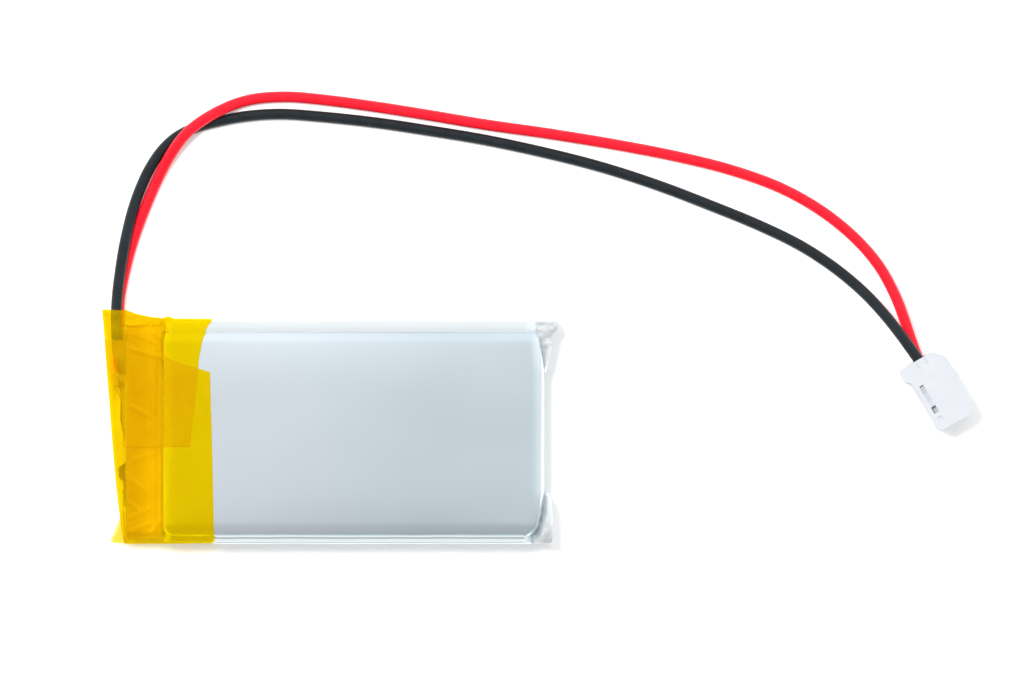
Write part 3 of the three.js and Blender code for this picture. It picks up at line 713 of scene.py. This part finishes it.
def seam(side):
    """One sealed edge, turned up beside the cup and folded back on itself. Under the tape it is
    pressed in, and on the near side its fold is pressed flat as well."""
    shape = SEAMS[side]
    outline = shape["outline"]
    first, last = POUCH_LOW.x + 0.2, shape["end"]
    points = []
    for x in np.linspace(first, last, SEAM_STATIONS):
        sway = 0.04 * noise.noise(Vector((x * 0.3, side * 3.1, 0.5)))
        wave = shape["wave"] * noise.noise(Vector((x * 0.35, side * 5.3, 2.5)))
        dip = shape["dip"] * smoothstep(SEAM_DIPS_FROM, last, x)
        dip += SEAM_HEAD_DIP * (1 - smoothstep(first, first + 1.0, x))
        taped = 1 - smoothstep(*TAPED, x)
        inset = shape["inset"] + shape["pressed"] * taped
        for y, z in outline:
            lean = 0.0
            if side < 0:
                lean = TAPED_LEAN * taped * max(y - LEAN_FROM_Y, 0.0)
                if z > FOLD_LEVEL:
                    z += (TAPED_FOLD_LEVEL - z) * taped
            share = z / SEAM_TOP
            points.append((x, side * (y - inset + sway * share), z + (wave - dip - lean) * share ** 3))
    columns = len(outline)
    faces = grid_faces(SEAM_STATIONS, columns, closed=True)
    end = SEAM_STATIONS * columns
    faces += [tuple(range(columns))[::-1], tuple(range(end - columns, end))]
    if side > 0:
        faces = [face[::-1] for face in faces]
    return mesh_piece(f"pouch_seam_{'far' if side > 0 else 'near'}", points, faces, "sealed_edge_painted_highlight")


# rows of each ear from the turned-up edge inwards: how far across the cell, where the row starts
# and ends along it, and its level at its start, its crest and its end
EARS = {
    1: [(12.15, 22.0, 24.8, 4.7, 5.05, 4.7), (11.8, 22.0, 24.85, 4.7, 5.05, 4.7),
        (11.3, 22.0, 24.8, 4.7, 5.1, 4.7), (10.95, 22.2, 24.6, 4.6, 5.1, 4.6),
        (10.6, 22.4, 24.3, 4.7, 5.1, 4.6), (9.6, 22.7, 24.2, 4.65, 5.0, 4.5),
        (8.5, 22.9, 24.0, 4.5, 4.8, 4.3), (7.3, 23.1, 23.75, 4.3, 4.5, 4.2),
        (6.6, 23.2, 23.5, 4.2, 4.2, 4.0)],
    -1: [(12.04, 21.4, 24.24, 3.9, 5.0, 4.9), (11.6, 21.5, 24.3, 3.8, 5.15, 5.05),
         (11.0, 21.8, 24.3, 3.9, 5.3, 5.1), (10.0, 22.5, 24.28, 4.2, 5.3, 5.1),
         (9.0, 22.9, 24.26, 4.3, 5.2, 5.0), (8.0, 23.2, 24.22, 4.4, 5.0, 4.8),
         (7.2, 23.35, 24.1, 4.4, 4.7, 4.5), (6.6, 23.4, 23.7, 4.4, 4.4, 4.2)],
}
# how far along its rows each ear's crest is, the level its folds hang down to, and the rows and
# columns of its web and of the two folds
EAR_CREST = {1: 0.5, -1: 0.74}
EAR_FOOT = 0.15
EAR_ROWS = 61
EAR_COLUMNS = 33
EAR_FOLD = 8


def ear_place(side, r, c):
    """A place on an ear. Rows below 0 hang from the turned-up edge and columns past the last hang
    from the ear's end, both down to the table."""
    knots = EARS[side]
    y = knots[0][0] + (knots[-1][0] - knots[0][0]) * max(r, 0) / (EAR_ROWS - 1)
    places, *levels = zip(*reversed(knots))
    start, end, low, crest, rim = (float(np.interp(y, places, values)) for values in levels)
    reach = min(c / (EAR_COLUMNS - 1), 1.0)
    drop = max(-r, c - EAR_COLUMNS + 1, 0) / EAR_FOLD
    x = start + (end - start) * reach
    z = low + (crest - low) * smoothstep(0, EAR_CREST[side], reach)
    z -= (crest - rim) * smoothstep(EAR_CREST[side], 1.15, reach)
    z += 0.07 * noise.noise(Vector((x * 1.9, y * 1.5, 7.0 * side)))
    z += 0.02 * noise.noise(Vector((x * 4.5, y * 3.5, 3.0 * side)))
    z += (EAR_FOOT - z) * drop
    buckle = 0.22 * noise.noise(Vector((z * 0.8, y * 0.7 + x, 4.0 * side))) - 0.12
    x += buckle * math.sin(math.pi * drop) * min(max(r, 0) / 6, 1.0)
    return x, side * y, z


def ear(side):
    """The crumpled corner of laminate between the folded end and a turned-up edge: a web across
    the top that folds down to the table at its end and along the turned-up edge."""
    index, points, faces = {}, [], []

    def corner(r, c):
        if r < 0 and c == EAR_COLUMNS - 1:
            r, c = 0, c - r
        if (r, c) not in index:
            index[r, c] = len(points)
            points.append(ear_place(side, r, c))
        return index[r, c]

    for r in range(-EAR_FOLD, EAR_ROWS - 1):
        last = EAR_COLUMNS - 1 if r < 0 else EAR_COLUMNS - 1 + EAR_FOLD
        for c in range(last):
            faces.append((corner(r, c), corner(r, c + 1), corner(r + 1, c + 1), corner(r + 1, c)))
    obj = mesh_piece(f"pouch_ear_{'far' if side > 0 else 'near'}", points, faces, "crumpled_edge")
    thicken(obj, LAMINATE)
    return obj


# ---------------- tape

# the tape's level along the cell, over the board, up its shoulder and on the pouch
HEAD_LEVELS = [
    (-22.35, 4.1), (-22.0, 4.2), (-20.2, 4.34), (-19.6, 4.48), (-19.0, 4.78), (-18.5, 4.98),
    (-18.2, 5.22), (-17.9, 5.48), (-17.5, 5.62), (-17.0, 5.66), (-12.9, 5.66),
]
# each crease's start and end as (along, across), its height and its width
TAPE_CREASES = [
    ((-22.3, 12.9), (-18.6, 11.4), 0.20, 0.12),
    ((-22.2, 11.5), (-18.6, 12.5), -0.16, 0.12),
    ((-21.6, 10.9), (-18.9, 9.7), 0.14, 0.13),
    ((-20.8, 12.4), (-18.6, 10.2), 0.16, 0.11),
    ((-22.3, 9.3), (-17.9, 8.0), 0.10, 0.14),
    ((-19.3, 12.6), (-16.7, 11.2), 0.18, 0.13),
    ((-18.75, 12.9), (-18.2, 10.4), -0.36, 0.2),
    ((-18.2, 11.2), (-18.6, 8.4), -0.34, 0.18),
    ((-18.6, 9.2), (-18.3, 5.4), -0.28, 0.18),
    ((-19.2, 12.6), (-19.1, 2.0), 0.16, 0.2),
    ((-17.2, 12.4), (-17.5, 9.0), 0.10, 0.14),
    ((-17.6, -1.0), (-17.65, -10.4), 0.20, 0.24),
    ((-18.2, -8.6), (-16.9, -12.2), -0.28, 0.2),
    ((-20.2, -12.1), (-18.3, -9.2), 0.24, 0.22),
    ((-22.2, -7.4), (-20.2, -9.2), 0.12, 0.12),
    ((-22.2, -9.5), (-19.5, -8.2), 0.12, 0.13),
    ((-22.1, -10.9), (-19.4, -9.9), 0.14, 0.13),
    ((-22.0, 3.0), (-19.5, 1.6), 0.06, 0.18),
    ((-21.8, -3.2), (-19.3, -2.2), 0.06, 0.18),
    ((-22.1, -5.0), (-19.8, -6.6), 0.08, 0.14),
]
# edges of the tape as (across, along): the head edge, the tail's own head edge, and the tail's edge
# on the face, which curves towards the lead side
HEAD_EDGE = [
    (-12.3, -22.7), (-9.6, -23.1), (-6.3, -23.5), (-3.0, -23.8), (1.4, -24.15), (5.8, -24.5),
    (11.2, -24.95), (12.4, -25.1),
]
TAIL_EDGE = [(-2.0, -22.6), (3.0, -22.9), (5.5, -24.3), (12.4, -25.1)]
SCOOP_EDGE = [
    (-2.2, -15.4), (0.5, -15.1), (3.5, -14.75), (6.0, -14.5), (8.1, -14.3), (9.9, -13.97),
    (11.4, -13.5), (12.4, -12.9),
]
# as (along, across): the edge that the first turn starts at on the face, and how far the tape reaches
# on the lead side and on the near side
TAPE_START = [(-22.3, 9.37), (-12.9, 6.55)]
TAPE_WIDTHS = {
    1: [(-24.9, 13.46), (-22.5, 13.42), (-21.4, 13.0), (-19.8, 12.66), (-18.3, 12.52),
        (-17.8, 12.72), (-17.2, 12.46), (-12.9, 12.44)],
    -1: [(-22.6, 12.2), (-19.0, 12.16), (-12.9, 12.07)],
}
# half the tape's width round the cell, where its tail ends as a share of that, the slant of its edge
# on the face, how far the tail stands over the first turn, and where across the cell the first turn
# begins to follow the slant of its start
TAPE_HALF = 12.42
TAIL_END = -0.13
TAPE_END_SLANT = 0.02
WRAP_GAP = 0.08
START_SLANT_Y = -3.0
TAPE_COLUMNS = 64
# past PINCH_X the tape's upper face falls by PINCH_RISE to PINCH_LEVEL at the head edge: it is pinched
# flat on the near side and, across PUFFED_FROM, turns to puffed up, where the leads are
PINCH_X = BOARD_X - 0.05
PINCH_LEVEL = 1.7
PINCH_RISE = 2.4
PUFFED_FROM = (4.5, 8.0)
# the tape's lower face: its level, and how far it rises from the board to the head edge
BACK_LEVEL = 0.04
BACK_RISE = 1.5
# how far the tape's long edges bend down over the board, how much of that is lost up the shoulder on
# each side, and where along the cell the shoulder is and across it the bend
EDGE_BEND = 1.3
BEND_LOST = {1: 1.05, -1: 0.75}
SHOULDER = (-18.9, -18.2)
BEND_FROM = (10.9, 12.4)
# what holds the tape up: the leads, over the place they run at and from LEADS_FROM_Y on, the folded
# tabs, out to TAB_REACH on both sides of each, and the pouch
LEADS_X = -23.45
LEADS_FROM_Y = 5.0
LEADS_LIFT = 2.95
TAB_LIFT = 3.2
TAB_REACH = (1.6, 2.6)
TAPE_GAP = 0.07
# the film's small waves, which are weaker past CALM_X, where it lies on the pouch
TAPE_WAVE = 0.03
CALM_X = -17.5
CALM_SHARE = 0.3


def toward_edge(start, x, y):
    """0 where the tape leaves the board at start and 1 at its head edge."""
    return min((start - x) / (start - linear(HEAD_EDGE, y)), 1.0)


def tape_top(x, y):
    """The level of the tape's upper face over the body, the shoulder and the board."""
    z = along_knots(HEAD_LEVELS, x)
    if x < PINCH_X:
        part = toward_edge(PINCH_X, x, y)
        pinched = PINCH_LEVEL + PINCH_RISE * (1 - part) ** 2.2
        puffed = PINCH_LEVEL + PINCH_RISE * (1 - part ** 4)
        z = pinched + (puffed - pinched) * smoothstep(*PUFFED_FROM, y)
    bend = EDGE_BEND - BEND_LOST[side_of(y)] * smoothstep(*SHOULDER, x)
    z -= bend * smoothstep(*BEND_FROM, abs(y))
    z += sum(ridge(x, y, *crease) for crease in TAPE_CREASES)
    wave = TAPE_WAVE * noise.noise(Vector((x * 0.9, y * 0.45, 3.3)))
    z += wave * (1 if x < CALM_X else CALM_SHARE)
    if y > LEADS_FROM_Y:
        z = max(z, LEADS_LIFT - 0.8 * (x - LEADS_X) ** 2)
    if x < BOARD_X:
        beside = min(abs(y - tab) for tab in TAB_PLACES)
        over_tab = TAB_LIFT - 3.0 * max(TAB_FOLD - x, 0.0)
        z = max(z, over_tab * (1 - smoothstep(*TAB_REACH, beside)))
    return max(z, pouch_level(x, y) + TAPE_GAP)


def tape_bottom(x, y):
    """The level of the tape's lower face, which rises past the board towards the upper one."""
    if x > BOARD_X:
        return BACK_LEVEL
    return BACK_LEVEL + BACK_RISE * toward_edge(BOARD_X, x, y) ** 2


def strip_stations():
    """The tape's way round the cell: from its start on the face, down the near side, across the
    back, up the lead side and over the face again to its tail. Each is (across, up, raised):
    across from -1 to 1, up from 0 at the back to 1 at the face, and raised over the first turn."""
    first = TAPE_START[0][1] / TAPE_HALF
    turns = [math.radians(a) for a in (25, 50, 75)]
    corner = [(0.975 + 0.025 * math.sin(a), 1 - 0.07 * (1 - math.cos(a))) for a in turns]
    wall = np.linspace(0.08, 0.88, 9)
    stations = [(y, 1.0, 0.0) for y in np.linspace(first, -0.975, 112)]
    stations += [(-y, up, 0.0) for y, up in corner]
    stations += [(-1.0, up, 0.0) for up in reversed(wall)]
    stations += [(-0.995, 0.02, 0.0)]
    stations += [(y, 0.0, 0.0) for y in np.linspace(-0.97, 0.97, 60)]
    stations += [(0.995, 0.02, 0.0)]
    stations += [(1.0, up, 0.0) for up in wall]
    stations += [(y, up, 0.5) for y, up in reversed(corner)]
    stations += [(y, 1.0, 1.0) for y in np.linspace(0.975, TAIL_END, 78)]
    return stations


def tape_strip():
    """One strip of tape wound once round the head, with its tail over its start."""
    points = []
    stations = strip_stations()
    start_y = TAPE_START[0][1]
    for across, up, raised in stations:
        y0 = across * TAPE_HALF
        left = linear(HEAD_EDGE, y0)
        right = TAPE_END_X - TAPE_END_SLANT * y0
        if raised == 1.0:
            right = linear(SCOOP_EDGE, y0)
            left = linear(TAIL_EDGE, y0)
        elif raised == 0.5:
            right = TAPE_END_X
        for c in range(TAPE_COLUMNS):
            x = right + (left - right) * c / (TAPE_COLUMNS - 1)
            y = across * linear(TAPE_WIDTHS[side_of(across)], x)
            if up == 1.0 and raised == 0.0:
                y += (linear(TAPE_START, x) - start_y) * smoothstep(START_SLANT_Y, start_y, y)
            top, bottom = tape_top(x, y), tape_bottom(x, y)
            points.append((x, y, bottom + (top - bottom) * up + WRAP_GAP * raised))
    obj = mesh_piece("tape_strip", points, grid_faces(len(stations), TAPE_COLUMNS), "tape")
    thicken(obj, TAPE)
    return obj


# the loose corner's three points as (along, across), its level, and how far its outer edge droops
FLAP_TIP = Vector((-22.7, -8.4))
FLAP_INNER = Vector((-22.3, -12.15))
FLAP_OUTER = Vector((-24.25, -12.1))
FLAP_LEVEL = 1.55
FLAP_DROOP = 0.9


def tape_flap():
    """The loose corner of tape that sticks out at the near end of the head."""
    rows, columns = 12, 8
    points = []
    for r in range(rows):
        part = 0.05 + 0.95 * r / (rows - 1)
        inner = FLAP_TIP.lerp(FLAP_INNER, part)
        outer = FLAP_TIP.lerp(FLAP_OUTER, part)
        for c in range(columns):
            p = inner.lerp(outer, c / (columns - 1))
            droop = FLAP_DROOP * part * c / (columns - 1)
            points.append((p.x, p.y, FLAP_LEVEL - droop + 0.1 * math.sin(3 * part)))
    obj = mesh_piece("tape_flap", points, grid_faces(rows, columns), "loose_tape")
    thicken(obj, TAPE)
    return obj


# the paper's head edge with its tongues, as (across, along)
PAPER_EDGE = [
    (-11.7, -22.3), (-8.0, -22.4), (-5.4, -22.6), (-4.9, -23.2), (-3.9, -23.3), (-3.3, -22.4),
    (-1.0, -22.4), (0.2, -22.75), (1.4, -23.0), (3.6, -22.95), (4.6, -23.1), (6.2, -23.25),
    (7.6, -23.4), (8.8, -23.9), (9.7, -23.9), (10.1, -22.5), (11.7, -22.3),
]
# half the paper's length, its tail's edge, its level over the board, how far its tail rises and its
# two ends fall, and how far under the tape it stays
PAPER_HALF = 11.7
PAPER_TAIL_X = -18.45
PAPER_LEVEL = 3.72
PAPER_RISE = 0.75
PAPER_FALL = 0.7
PAPER_UNDER_TAPE = 0.16


def cover_paper():
    """The slip of paper over the board: its tongues bend down at the head, its tail up the pouch."""
    rows, columns = 90, 40
    points = []
    for r in range(rows):
        y = -PAPER_HALF + 2 * PAPER_HALF * r / (rows - 1)
        edge = linear(PAPER_EDGE, y)
        for c in range(columns):
            x = edge + (PAPER_TAIL_X - edge) * c / (columns - 1)
            rise = PAPER_RISE * smoothstep(-19.4, -18.6, x)
            sag = 0.05 * noise.noise(Vector((x, y * 0.5, 9.1)))
            fall = PAPER_FALL * smoothstep(10.9, PAPER_HALF, abs(y))
            level = PAPER_LEVEL + rise + sag - fall
            points.append((x, y, min(level, tape_top(x, y) - PAPER_UNDER_TAPE)))
    obj = mesh_piece("cover_paper", points, grid_faces(rows, columns), "paper")
    thicken(obj, PAPER)
    return obj


# ---------------- plug

# cuts in the plug's top, each as where it starts and ends along the plug, where across it, and its
# depth: the stepped slot, its deep end, a shallow mark past it, and the notch at the wire end
TOP_CUTS = [
    (2.6, 3.6, -1.85, -1.4, 0.5), (3.5, 4.5, -1.8, -1.42, 0.3), (4.4, 5.3, -1.78, -1.44, 0.16),
    (5.2, 6.0, -1.9, -1.35, 1.0), (6.5, 7.1, -1.85, -1.35, 0.12), (-1.0, 0.9, -0.9, 0.3, 0.3),
]
# the latch windows on the plug's side: where along it, and half their height
LATCH_WINDOW = (2.9, 4.5)
LATCH_HALF = 0.45
PLUG_EDGE = 0.16
BOX_FACES = [(0, 1, 3, 2), (4, 6, 7, 5), (0, 4, 5, 1), (2, 3, 7, 6), (0, 2, 6, 4), (1, 5, 7, 3)]


def block(low, high):
    """A box on the plug, as a throwaway object to cut with."""
    xs, ys, zs = zip(low, high)
    corners = [plug_at(x, y, z) for x in xs for y in ys for z in zs]
    return mesh_object("cutter", corners, BOX_FACES)


def carve(obj, cutters):
    """Cuts every cutter out of obj and throws the cutters away."""
    for cutter in cutters:
        modifier = obj.modifiers.new("cut", "BOOLEAN")
        modifier.operation = "DIFFERENCE"
        modifier.solver = "EXACT"
        modifier.object = cutter
    bpy.context.view_layer.update()
    evaluated = obj.evaluated_get(bpy.context.evaluated_depsgraph_get())
    shaped = bpy.data.meshes.new_from_object(evaluated)
    obj.modifiers.clear()
    obj.data = shaped
    for cutter in cutters:
        bpy.data.objects.remove(cutter)


def soften(obj, width, segments):
    """Rounds every sharp edge by width, in millimetres."""
    modifier = obj.modifiers.new("edges", "BEVEL")
    modifier.width = width * MM
    modifier.segments = segments
    modifier.limit_method = "ANGLE"
    modifier.angle_limit = math.radians(28)
    modifier.harden_normals = True
    modifier.use_clamp_overlap = True


def plug_shell():
    """The plug's housing: its outline from above, hollowed for the crimps and cut for its latches."""
    half, length, top = PLUG_HALF_WIDTH, PLUG_LENGTH, PLUG_HEIGHT
    outline = [
        (0.15, -half - 0.5), (1.5, -half - 0.5), (1.9, -half), (length - 0.3, -half),
        (length, -half + 0.3), (length, half - 0.9), (length - 0.9, half), (1.2, half),
        (0, half - 1.1), (0, -half + 0.6),
    ]
    count = len(outline)
    places = [plug_at(x, y, z) for z in (0.0, top) for x, y in outline]
    faces = [tuple(range(count))[::-1], tuple(range(count, 2 * count))]
    for i in range(count):
        j = (i + 1) % count
        faces.append((i, j, count + j, count + i))
    obj = mesh_object("plug_shell", places, faces)
    obj.data.materials.append(FINISHES["nylon"])
    cutters = []
    for z in (RED_CAVITY_Z, BLACK_CAVITY_Z):
        for width, start, end in ((CAVITY, -1, length - 0.8), (SOCKET, length - 2, length + 1)):
            r = width / 2
            cutters.append(block((start, CAVITY_Y - r, z - r), (end, CAVITY_Y + r, z + r)))
        low = (LATCH_WINDOW[0], -half - 1, z - LATCH_HALF)
        cutters.append(block(low, (LATCH_WINDOW[1], CAVITY_Y - 0.5, z + LATCH_HALF)))
    for start, end, left, right, depth in TOP_CUTS:
        cutters.append(block((start, left, top - depth), (end, right, top + 1)))
    carve(obj, cutters)
    soften(obj, PLUG_EDGE, 4)
    return obj


# ---------------- pieces kept from the solids

CARRIED = {
    "cathode_foil": "cathode", "anode_foil": "anode", "separator_inner": "separator",
    "separator_outer": "separator", "winding_end_tape": "winding_tape", "positive_tab": "aluminium",
    "negative_tab": "nickel", "positive_tab_film": "seal_film", "negative_tab_film": "seal_film",
    "insulating_paper": "paper", "circuit_board": "board", "mosfet_chip": "chip",
    "protection_chip": "chip", "supply_resistor": "chip", "sense_resistor": "chip",
    "filter_capacitor": "ceramic", "positive_nickel_strip": "nickel",
    "negative_nickel_strip": "nickel", "red_wire_board_end": "strands",
    "black_wire_board_end": "strands", "red_solder_joint": "solder", "black_solder_joint": "solder",
    "red_wire_plug_end": "strands", "black_wire_plug_end": "strands", "red_contact": "contact",
    "black_contact": "contact",
}


def dress_carried():
    """Gives each solid that is shown as it is its finish."""
    for node, finish in CARRIED.items():
        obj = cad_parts[node]
        obj.data.materials.clear()
        obj.data.materials.append(FINISHES[finish])


# ---------------- stage and light

FLOOR_COLOUR = (0.92, 0.92, 0.92, 1)
FLOOR_GLOW = 0.21
# in metres and watts: half the floor's width, and the light's place, width and power
FLOOR_HALF = 1.5
LIGHT_PLACE = (-0.13, 0.14, 0.67)
LIGHT_WIDTH = 0.12
LIGHT_POWER = 3.3


def add_floor():
    """The pale table, which glows a little so that it stays white in the picture."""
    material, _, shader = new_material("floor")
    shader_value(
        shader, Base_Color=FLOOR_COLOUR, Roughness=0.9, Specular_IOR_Level=0.1,
        Emission_Color=WHITE, Emission_Strength=FLOOR_GLOW,
    )
    far = FLOOR_HALF
    corners = [(-far, -far, 0), (far, -far, 0), (far, far, 0), (-far, far, 0)]
    obj = mesh_object("floor", corners, [(0, 1, 2, 3)])
    obj.data.materials.append(material)


def add_light():
    """A soft lamp up on the far side, aimed at the frame's middle and not seen in reflections."""
    light = bpy.data.lights.new("key", "AREA")
    light.shape = "SQUARE"
    light.size = LIGHT_WIDTH
    light.energy = LIGHT_POWER
    obj = add_object("key", light)
    obj.location = LIGHT_PLACE
    obj.rotation_euler = (-Vector(LIGHT_PLACE)).to_track_quat("-Z", "Y").to_euler()
    obj.visible_glossy = False


def add_world():
    """A pale tent, bright on the +Y side and dimmer on the -Y side, with a soft edge overhead. Its
    two ends along X are brighter again on the +Y side."""
    world = bpy.data.worlds.new("studio")
    world.use_nodes = True
    tree = world.node_tree
    place = tree.nodes.new("ShaderNodeTexCoord").outputs["Generated"]
    x, y, z = (axis_of(tree, place, axis) for axis in "XYZ")
    far_side = map_range(tree, y, -0.12, 0.12, 0.53, 1.03)
    overhead = map_range(tree, z, 0.0, 0.9, 0.86, 1.0)
    roof = math_node(tree, "MULTIPLY", far_side, overhead)
    squared = math_node(tree, "POWER", math_node(tree, "ABSOLUTE", x), 2)
    ends = math_node(tree, "MULTIPLY", squared, 0.35)
    sides = math_node(tree, "MULTIPLY", ends, map_range(tree, y, -0.3, -0.02))
    background = tree.nodes["Background"]
    background.inputs["Color"].default_value = WHITE
    tree.links.new(math_node(tree, "ADD", roof, sides), background.inputs["Strength"])
    bpy.context.scene.world = world


# ---------------- assembly

add_camera()
add_floor()
add_world()
add_light()
bpy.context.scene.view_settings.view_transform = "Standard"

shell = plug_shell()
for name, route, cavity_z, finish in (
    ("red_lead", RED_ROUTE, RED_CAVITY_Z, "red"),
    ("black_lead", BLACK_ROUTE, BLACK_CAVITY_Z, "black"),
):
    wire, leaves, length = lead(name, route, cavity_z, FINISHES[finish])
    node = name.replace("lead", "wire")
    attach(wire, BODY)
    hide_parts(node)

pouch = [pouch_body(), seam(1), seam(-1), ear(1), ear(-1)]
tape = [tape_strip(), tape_flap()]
for piece in pouch:
    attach(piece, BODY)
for piece in tape:
    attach(piece, BODY)
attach(shell, BODY)
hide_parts("pouch_laminate")
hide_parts("tape_wrap", "tape_overlap")
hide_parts("plug_housing")
cover = cover_paper()
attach(cover, BODY)
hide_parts("board_cover_paper")
dress_carried()
